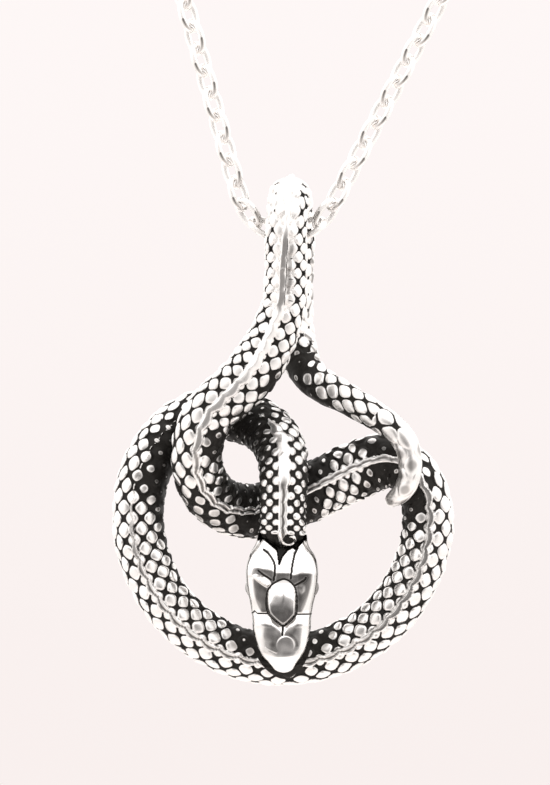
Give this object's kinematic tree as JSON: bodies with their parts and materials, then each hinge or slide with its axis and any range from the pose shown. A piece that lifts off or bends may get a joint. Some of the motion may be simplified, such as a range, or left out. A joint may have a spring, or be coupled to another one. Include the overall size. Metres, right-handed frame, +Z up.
{
  "type": "snake pendant on a cable chain",
  "caption": "Coiled silver snake pendant whose own looped body is its bail, hanging free on a closed cable chain as it is worn.",
  "frame": {"origin": "inner edge of the closed loop where it lies on the nape, on the clasp's middle plane", "axes": "+Z up through the worn loop, +X to the viewer's right, -Y towards the viewer in front of the pendant"},
  "size_m": [0.1047, 0.0102, 0.2232],
  "materials": {
    "scaled_silver": "polished cast silver, dark oxide in the grooves between the scales",
    "chain_silver": "bright polished silver"
  },
  "bodies": {
    "chain": {"chain_left": "chain_silver", "chain_right": "chain_silver", "end_ring": "chain_silver", "clasp_link": "chain_silver", "clasp": "chain_silver"},
    "pendant": {"snake": "scaled_silver"}
  },
  "joints": [
    {"name": "pendant_swing", "type": "hinge", "parent": "chain", "child": "pendant", "pos_m": [-0.01819, 0, -0.18109], "axis": [1, 0, 0], "range_deg": [-75, 75]}
  ]
}
